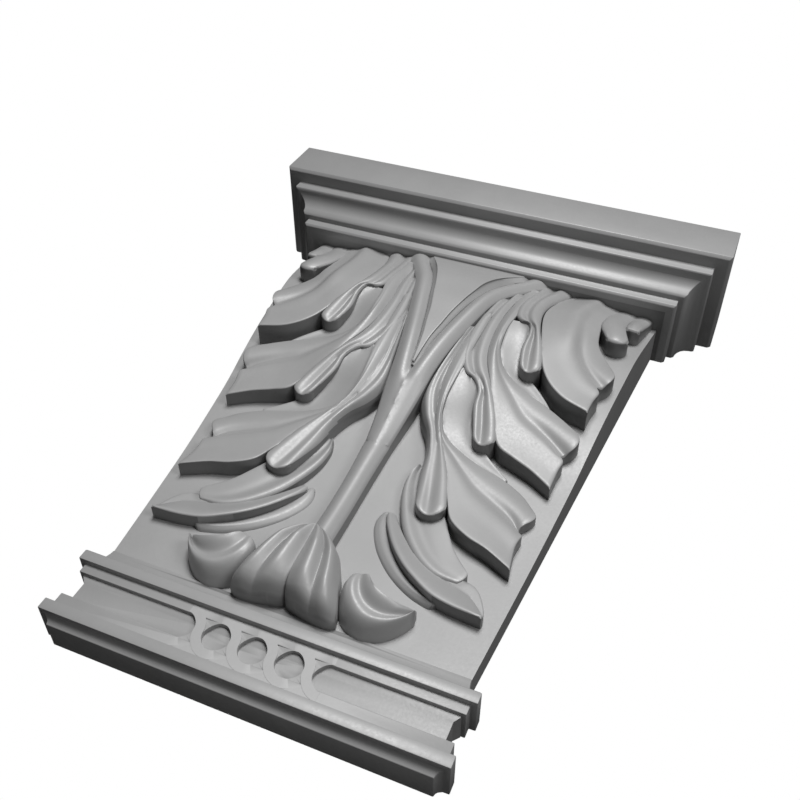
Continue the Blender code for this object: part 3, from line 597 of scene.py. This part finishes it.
def strap(name, turn, count=361):
    """One strap of the woven band: a flat ribbon along a cosine wave, which a power rounds into rings.

    Where it passes under the other strap it dips by the under drop times a power of a sine.
    """
    reach = WEAVE_PITCH * WEAVE_CROSSINGS / 2
    x = np.linspace(-reach, reach, 160 * WEAVE_CROSSINGS + 1)
    wave = np.cos(np.pi * x / WEAVE_PITCH)
    down = WEAVE_DOWN - turn * WEAVE_HALF_HEIGHT * np.sign(wave) * np.abs(wave) ** RING_POWER
    dip = UNDER_DROP * np.clip(-turn * np.sin(np.pi * x / WEAVE_PITCH), 0, 1) ** 3
    line = read_off(np.stack([x, down, dip], axis=1), np.linspace(0, 1, count))
    ahead = np.gradient(line[:, :2], axis=0)
    across = np.stack([-ahead[:, 1], ahead[:, 0]], axis=1) / np.hypot(*ahead.T)[:, None]
    edges = line[:, None, :2] + across[:, None, :] * np.array([-0.5, 0.5])[None, :, None] * STRAP_WIDTH
    front = np.repeat(STRAP_DEPTH - line[:, 2:], 2, axis=1)
    upper = world(edges[..., 0], edges[..., 1], front)
    lower = world(edges[..., 0], edges[..., 1], np.full(front.shape, STRAP_ROOT))
    vertices = np.concatenate([upper, lower], axis=1).reshape(-1, 3)
    row = 4 * np.arange(count - 1)[:, None]
    a, b = np.array([0, 1, 3, 2]), np.array([1, 3, 2, 0])
    sides = np.stack([row + b, row + 4 + b, row + 4 + a, row + a], -1).reshape(-1, 4)
    last = 4 * (count - 1)
    return form(name, vertices, np.vstack([[2, 3, 1, 0], sides, [last, last + 1, last + 3, last + 2]]))


class Net:
    """A mesh as arrays: its vertices, their normals and the pairs of vertices that its edges join."""

    def __init__(self, mesh):
        self.count = len(mesh.vertices)
        self.place = self.read(mesh.vertices, "co", 3)
        self.normal = self.read(mesh.vertices, "normal", 3)
        edges = np.empty(len(mesh.edges) * 2, int)
        mesh.edges.foreach_get("vertices", edges)
        edges = edges.reshape(-1, 2)
        self.here, self.there = np.concatenate([edges, edges[:, ::-1]]).T
        self.near = np.bincount(self.here, minlength=self.count).clip(1)

    def read(self, items, name, width):
        """A property of all items as one array, a row for each."""
        values = np.empty(len(items) * width)
        items.foreach_get(name, values)
        return values.reshape(-1, width)

    def average(self, values):
        """The average of each vertex's neighbours."""
        return np.bincount(self.here, weights=values[self.there], minlength=self.count) / self.near


def melt(mesh):
    """Eases the creases where lobes flow into each other: the front-facing vertices' depths are averaged.

    A vertex moves only if it and all its neighbours face the front and lie close together on the
    leaves, so that rims, walls, the bell and the woven band stay. The fork takes further passes.
    """
    net = Net(mesh)
    lengths = np.linalg.norm(net.place[net.here] - net.place[net.there], axis=1)
    on_leaves = net.place[:, 2] > (HEIGHT / 2 - BULB_FOOT) * MM
    off_bell = -net.place[:, 1] / MM > bell_depth(TOP - net.place[:, 2] / MM) + BELL_TOLERANCE
    fit = (-net.normal[:, 1] > MELT_SLOPE) & on_leaves & off_bell
    free = fit.astype(float)
    np.minimum.at(free, net.here, (fit[net.there] & (lengths < MELT_REACH * MM)).astype(float))
    depth = net.place[:, 1]
    half_width, top, bottom = FORK
    out, down = np.abs(net.place[:, 0]) / MM, TOP - net.place[:, 2] / MM
    at_fork = free * (out < half_width) * (down > top) * (down < bottom)
    for turn in range(MELT_PASSES + FORK_PASSES):
        share = free if turn < MELT_PASSES else at_fork
        depth = depth + 0.5 * share * (net.average(depth) - depth)
    net.place[:, 1] = depth
    mesh.vertices.foreach_set("co", net.place.ravel())
    mesh.update()


def face_values(mesh, name):
    """A property of all faces, such as their centres or normals, a row for each."""
    values = np.empty(len(mesh.polygons) * 3)
    mesh.polygons.foreach_get(name, values)
    return values.reshape(-1, 3)


def bell_faces(mesh):
    """Which faces lie on the bell's own front or sides."""
    x, y, z = face_values(mesh, "center").T / MM
    on_side = np.abs(np.abs(x) - BELL_HALF_WIDTH + BELL_TAPER * (TOP - z)) < BELL_TOLERANCE
    return (np.abs(-y - bell_depth(TOP - z)) < BELL_TOLERANCE) | on_side


def flatten_bell(mesh):
    """Shades the bell's own narrow bands flat: their long triangles would smear the leaves' normals."""
    mesh.polygons.foreach_set("use_smooth", ~bell_faces(mesh))


def corner_hollows(mesh):
    """For each face corner, its vertex's hollowness, which sets the painted shade: none on the bell's face,
    more on the leaves' walls.
    """
    corners, totals = np.empty(len(mesh.loops), int), np.empty(len(mesh.polygons), int)
    mesh.loops.foreach_get("vertex_index", corners)
    mesh.polygons.foreach_get("loop_total", totals)
    x, y, z = face_values(mesh, "center").T / MM
    down = TOP - z
    steep = np.abs(face_values(mesh, "normal")[:, 1]) < WALL_SLOPE
    on_leaves = (down > ABACUS[-1][1]) & (down < np.where(np.abs(x) < BUD_HALF_WIDTH, BULB_TIP, BULB_FOOT))
    # The leaves' steep walls get a high hollowness, so that the stone paints shade on them.
    walls = steep & on_leaves & (-y > bell_depth(down))
    values = np.maximum(hollowness(mesh)[corners], np.repeat(np.where(walls, WALL_SHADE_VALUE, 0.0), totals))
    return np.where(np.repeat(bell_faces(mesh), totals), EVEN, values)


def hollowness(mesh, passes=6):
    """How deep each vertex lies below its neighbours' average, along its normal, spread a little."""
    net = Net(mesh)
    around = np.stack([net.average(axis) for axis in net.place.T], axis=1)
    lengths = np.linalg.norm(net.place[net.here] - net.place[net.there], axis=1)
    span = np.bincount(net.here, weights=lengths, minlength=net.count) / net.near
    hollow = np.einsum("ij,ij->i", around - net.place, net.normal) / span.clip(1e-6)
    hollow[span > MELT_REACH * MM] = 0
    for _ in range(passes):
        hollow = 0.5 * hollow + 0.5 * net.average(hollow)
    return np.clip(EVEN + HOLLOW_GAIN * hollow, 0, 1)


def socket(group, name, kind, default=None, inward=True):
    """A new input or output of a node group."""
    made = group.interface.new_socket(name, in_out="INPUT" if inward else "OUTPUT", socket_type=kind)
    if default is not None:
        made.default_value = default
    return made


def grain_group():
    """Fine cast stone's grain: two sizes of noise give a light mottling, a roughness and a height."""
    group = bpy.data.node_groups.new("Stone grain", "ShaderNodeTree")
    socket(group, "Grain size", "NodeSocketFloat", 900.0)
    socket(group, "Mottle size", "NodeSocketFloat", 28.0)
    for name in ("Mottle", "Grain"):
        socket(group, name, "NodeSocketFloat", inward=False)
    nodes, links = group.nodes, group.links
    start, end = nodes.new("NodeGroupInput"), nodes.new("NodeGroupOutput")
    place = nodes.new("ShaderNodeTexCoord")
    for name, detail, rough in (("Mottle", 5.0, 0.62), ("Grain", 3.0, 0.7)):
        noise = nodes.new("ShaderNodeTexNoise")
        noise.inputs["Detail"].default_value = detail
        noise.inputs["Roughness"].default_value = rough
        links.new(place.outputs["Object"], noise.inputs["Vector"])
        links.new(start.outputs[f"{name} size"], noise.inputs["Scale"])
        links.new(noise.outputs["Fac"], end.inputs[name])
    return group


def mixed(tree, factor, low, high):
    """A colour mix of two plain colours by a factor socket."""
    mix = tree.nodes.new("ShaderNodeMix")
    mix.data_type = "RGBA"
    tree.links.new(factor, mix.inputs["Factor"])
    for name, value in (("A", low), ("B", high)):
        target = next(s for s in mix.inputs if s.name == name and s.type == "RGBA")
        if isinstance(value, bpy.types.NodeSocket):
            tree.links.new(value, target)
        else:
            target.default_value = value
    return next(s for s in mix.outputs if s.type == "RGBA")


def ranged(tree, value, low, high, to_low, to_high):
    """A value mapped from one range to another, and kept inside it."""
    node = tree.nodes.new("ShaderNodeMapRange")
    for name, number in (("From Min", low), ("From Max", high), ("To Min", to_low), ("To Max", to_high)):
        node.inputs[name].default_value = number
    tree.links.new(value, node.inputs["Value"])
    return node.outputs["Result"]


def shade(colour, factor):
    """A colour made lighter or darker by a factor."""
    return (*(channel * factor for channel in colour[:3]), 1.0)


def cast_stone(finish):
    """Fine grey cast stone: faint mottling, painted shade in hollows and on the leaves' walls, paler worn
    arrises and a fine grain.
    """
    material = bpy.data.materials.new("Cast_stone")
    material.use_nodes = True
    tree = material.node_tree
    shader = tree.nodes["Principled BSDF"]
    grain = tree.nodes.new("ShaderNodeGroup")
    grain.node_tree = grain_group()
    hollow = tree.nodes.new("ShaderNodeAttribute")
    hollow.attribute_name = "hollow"
    stone = finish.stone_colour
    mottle = ranged(tree, grain.outputs["Mottle"], *NOISE_RANGE, 0, 1)
    mottled = mixed(tree, mottle, shade(stone, 1 - finish.mottling), shade(stone, 1 + finish.mottling))
    # Painted shade: hollows and the leaves' steep walls are darkened towards a dark grey, where shade
    # falls.
    shade_amount = ranged(tree, hollow.outputs["Fac"], *PAINTED_SHADE_RANGE, 0, finish.painted_shade)
    shaded_colour = mixed(tree, shade_amount, mottled, shade(stone, PAINTED_SHADE_SHARE))
    wear = ranged(tree, hollow.outputs["Fac"], *WORN_RANGE, 0, finish.edge_wear)
    tree.links.new(mixed(tree, wear, shaded_colour, shade(stone, WORN_SHARE)), shader.inputs["Base Color"])
    shader.inputs["Specular IOR Level"].default_value = GLOSS
    rough = (finish.roughness - GRAIN_ROUGHNESS, finish.roughness + GRAIN_ROUGHNESS)
    tree.links.new(ranged(tree, grain.outputs["Grain"], *NOISE_RANGE, *rough), shader.inputs["Roughness"])
    bump = tree.nodes.new("ShaderNodeBump")
    bump.inputs["Strength"].default_value = finish.grain_strength
    bump.inputs["Distance"].default_value = GRAIN_HEIGHT
    tree.links.new(grain.outputs["Grain"], bump.inputs["Height"])
    tree.links.new(bump.outputs["Normal"], shader.inputs["Normal"])
    return material


class BRACKET_PG_carving(bpy.types.PropertyGroup):
    """Sizes of the carving."""

    rim: bpy.props.FloatProperty(
        name="Rim", description="Radius of the rounding along the leaves' edges, in millimetres",
        default=0.7, min=0.1)
    arris: bpy.props.FloatProperty(
        name="Arris", description="Width of the easing on the mouldings' arrises, in millimetres",
        default=0.3, min=0.05)


class BRACKET_PG_finish(bpy.types.PropertyGroup):
    """Colours and finish of the stone."""

    stone_colour: bpy.props.FloatVectorProperty(
        name="Stone", description="Colour of the stone",
        subtype="COLOR", size=3, default=(0.3, 0.3, 0.3), min=0, max=1)
    roughness: bpy.props.FloatProperty(
        name="Roughness", description="Roughness of the satin surface",
        subtype="FACTOR", default=0.44, min=0, max=1)
    mottling: bpy.props.FloatProperty(
        name="Mottling", description="How much the stone's tone wanders",
        subtype="FACTOR", default=0.05, min=0, max=1)
    # Painted shade: how dark the hollows and the leaves' steep walls are painted.
    painted_shade: bpy.props.FloatProperty(
        name="Painted shade in hollows", description="How dark the hollows are",
        subtype="FACTOR", default=0.75, min=0, max=1)
    edge_wear: bpy.props.FloatProperty(
        name="Edge wear", description="How pale the arrises are",
        subtype="FACTOR", default=0.4, min=0, max=1)
    grain_strength: bpy.props.FloatProperty(
        name="Grain", description="Strength of the fine grain's bump",
        subtype="FACTOR", default=0.25, min=0, max=1)


class BRACKET_PG_stage(bpy.types.PropertyGroup):
    """The studio round the bracket."""

    floor_drop: bpy.props.FloatProperty(
        name="Floor drop", description="How far the floor lies below the bracket's middle",
        unit="LENGTH", default=0.62)
    key_power: bpy.props.FloatProperty(
        name="Key light", description="Power of the key light, in watts", default=1.78, min=0)
    fill_power: bpy.props.FloatProperty(
        name="Fill light", description="Power of the weaker light from the right, in watts",
        default=0.6, min=0)
    back_power: bpy.props.FloatProperty(
        name="Back light", description="Power of the light from behind, in watts", default=1.2, min=0)
    light_size: bpy.props.FloatProperty(
        name="Light size", description="Width of each light", unit="LENGTH", default=0.5, min=0.05)
    ambient: bpy.props.FloatProperty(
        name="Ambient", description="Brightness of the light from all round", default=0.02, min=0)


class BRACKET_OT_block(bpy.types.Operator):
    """Makes the bell, the abacus and the foot"""

    bl_idname = "bracket.block"
    bl_label = "Bell and mouldings"

    def execute(self, context):
        arris = context.scene.bracket_carving.arris
        bell("Bell")
        moulding("Abacus", ABACUS, HALF_WIDTH, DEPTH, arris)
        moulding("Foot", FOOT, FOOT_HALF_WIDTH, FOOT_DEPTH, arris)
        return {"FINISHED"}


class BRACKET_OT_leaves(bpy.types.Operator):
    """Makes the lobes of both acanthus half-leaves"""

    bl_idname = "bracket.leaves"
    bl_label = "Acanthus leaves"

    def execute(self, context):
        rim = context.scene.bracket_carving.rim
        for name, shape in LOBES.items():
            carve(name, shape, rim)
        return {"FINISHED"}


class BRACKET_OT_stem(bpy.types.Operator):
    """Makes the forked stem and the raised panel between its branches"""

    bl_idname = "bracket.stem"
    bl_label = "Forked stem"

    def execute(self, context):
        rim = context.scene.bracket_carving.rim
        carve("branch", BRANCH, rim)
        carve("bevel", BEVEL, rim)
        carve("panel", PANEL, rim, sides=(1,))
        carve("trunk", TRUNK, rim, sides=(1,))
        return {"FINISHED"}


class BRACKET_OT_bud(bpy.types.Operator):
    """Makes the bud: its fluted bulb and the curled lobe on each side"""

    bl_idname = "bracket.bud"
    bl_label = "Bud"

    def execute(self, context):
        bulb("bulb")
        carve("side lobe", SIDE_LOBE, context.scene.bracket_carving.rim)
        return {"FINISHED"}


class BRACKET_OT_woven_band(bpy.types.Operator):
    """Makes the two straps of the woven band on the foot"""

    bl_idname = "bracket.woven_band"
    bl_label = "Woven band"

    def execute(self, context):
        stacked_block("Band floor", *np.array(BAND_FLOOR).T)
        for turn in (-1, 1):
            strap(f"strap {turn}", turn)
        return {"FINISHED"}


class BRACKET_OT_join(bpy.types.Operator):
    """Joins all the forms into the one carved piece and gives it its stone"""

    bl_idname = "bracket.join"
    bl_label = "Join and finish"

    def execute(self, context):
        block = bpy.data.objects["Bell"]
        forms().objects.unlink(block)
        context.scene.collection.objects.link(block)
        join = block.modifiers.new("Join", "BOOLEAN")
        join.operation = "UNION"
        join.operand_type = "COLLECTION"
        join.collection = forms()
        join.solver = "MANIFOLD"
        joined = bpy.data.meshes.new_from_object(block.evaluated_get(context.evaluated_depsgraph_get()))
        for part in [*forms().objects, block]:
            bpy.data.objects.remove(part)
        bpy.data.collections.remove(forms())
        if len(joined.polygons) < FEWEST_FACES:
            raise RuntimeError("the forms didn't join")
        piece = bpy.data.objects.new("Bracket_relief", joined)
        context.scene.collection.objects.link(piece)
        melt(joined)
        joined.materials.clear()
        joined.materials.append(cast_stone(context.scene.bracket_finish))
        joined.shade_smooth()
        flatten_bell(joined)
        joined.set_sharp_from_angle(angle=SHARP_ANGLE)
        hollow = joined.attributes.new("hollow", "FLOAT", "CORNER")
        hollow.data.foreach_set("value", corner_hollows(joined).astype(np.float32))
        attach(piece, "root")
        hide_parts(NODE)
        return {"FINISHED"}


class BRACKET_OT_stage(bpy.types.Operator):
    """Makes the floor, the lights and the camera"""

    bl_idname = "bracket.stage"
    bl_label = "Stage"

    def execute(self, context):
        settings = context.scene.bracket_stage
        make_floor(settings.floor_drop)
        make_light("Key", KEY_PLACE, settings.key_power, settings.light_size)
        make_light("Fill", FILL_PLACE, settings.fill_power, settings.light_size)
        make_light("Back", BACK_PLACE, settings.back_power, settings.light_size)
        make_world(settings.ambient)
        make_camera()
        context.scene.view_settings.view_transform = "Standard"
        return {"FINISHED"}


def make_floor(drop):
    """A plain pale square."""
    half = FLOOR_HALF_WIDTH
    corners = [(-half, -half, -drop), (half, -half, -drop), (half, half, -drop), (-half, half, -drop)]
    mesh = bpy.data.meshes.new("Floor")
    mesh.from_pydata(corners, [], [(0, 1, 2, 3)])
    floor = bpy.data.objects.new("Floor", mesh)
    bpy.context.scene.collection.objects.link(floor)
    material = bpy.data.materials.new("Pale_floor")
    material.use_nodes = True
    material.node_tree.nodes["Principled BSDF"].inputs["Base Color"].default_value = FLOOR_COLOUR
    mesh.materials.append(material)


def make_light(name, place, power, size):
    """A square soft light that faces the bracket's middle."""
    lamp = bpy.data.lights.new(name, "AREA")
    lamp.energy = power
    lamp.size = size
    lamp.spread = math.radians(BEAM)
    light = bpy.data.objects.new(name, lamp)
    bpy.context.scene.collection.objects.link(light)
    light.location = place
    light.rotation_euler = (-light.location).to_track_quat("-Z", "Y").to_euler()


def make_world(ambient):
    """White to the camera, a dim even light to everything else."""
    surround = bpy.data.worlds.new("Studio")
    bpy.context.scene.world = surround
    surround.use_nodes = True
    tree = surround.node_tree
    light = tree.nodes["Background"]
    light.inputs["Strength"].default_value = ambient
    seen = tree.nodes.new("ShaderNodeBackground")
    seen.inputs["Color"].default_value = WHITE
    path = tree.nodes.new("ShaderNodeLightPath")
    mix = tree.nodes.new("ShaderNodeMixShader")
    light.inputs["Color"].default_value = WHITE
    tree.links.new(path.outputs["Is Camera Ray"], mix.inputs["Fac"])
    tree.links.new(light.outputs["Background"], mix.inputs[1])
    tree.links.new(seen.outputs["Background"], mix.inputs[2])
    tree.links.new(mix.outputs["Shader"], tree.nodes["World Output"].inputs["Surface"])


def make_camera():
    """The photograph's viewpoint: below and to the right, looking up at the carving."""
    lens = bpy.data.cameras.new("Camera")
    lens.sensor_width = SENSOR
    lens.lens = FOCAL_SHARE * SENSOR
    lens.clip_start = 0.01
    camera = bpy.data.objects.new("Camera", lens)
    bpy.context.scene.collection.objects.link(camera)
    right, down, forward = np.array(CAMERA_AXES)
    turn = Matrix(np.stack([right, -down, -forward], axis=1).tolist()).to_4x4()
    x, y, z = CAMERA_PLACE
    camera.matrix_world = Matrix.Translation((x * MM, y * MM, (z + TOP) * MM)) @ turn
    bpy.context.scene.camera = camera


class BRACKET_PT_panel(bpy.types.Panel):
    """Lists the bracket's operators and settings"""

    bl_idname = "BRACKET_PT_panel"
    bl_label = "Carved bracket"
    bl_space_type = "VIEW_3D"
    bl_region_type = "UI"
    bl_category = "Bracket"

    def draw(self, context):
        for operator in OPERATORS:
            self.layout.operator(operator.bl_idname)
        for group in GROUPS:
            box = self.layout.box()
            for name in GROUPS[group].__annotations__:
                box.prop(getattr(context.scene, group), name)


GROUPS = {
    "bracket_carving": BRACKET_PG_carving,
    "bracket_finish": BRACKET_PG_finish,
    "bracket_stage": BRACKET_PG_stage,
}
OPERATORS = (
    BRACKET_OT_block, BRACKET_OT_leaves, BRACKET_OT_stem, BRACKET_OT_bud, BRACKET_OT_woven_band,
    BRACKET_OT_join, BRACKET_OT_stage,
)


def register():
    for kind in (*GROUPS.values(), *OPERATORS, BRACKET_PT_panel):
        bpy.utils.register_class(kind)
    for name, kind in GROUPS.items():
        setattr(bpy.types.Scene, name, bpy.props.PointerProperty(type=kind))


def unregister():
    for name in GROUPS:
        delattr(bpy.types.Scene, name)
    for kind in (BRACKET_PT_panel, *reversed(OPERATORS), *GROUPS.values()):
        bpy.utils.unregister_class(kind)


def main():
    register()
    bpy.ops.bracket.block()
    bpy.ops.bracket.leaves()
    bpy.ops.bracket.stem()
    bpy.ops.bracket.bud()
    bpy.ops.bracket.woven_band()
    bpy.ops.bracket.join()
    bpy.ops.bracket.stage()


if __name__ == "__main__":
    main()
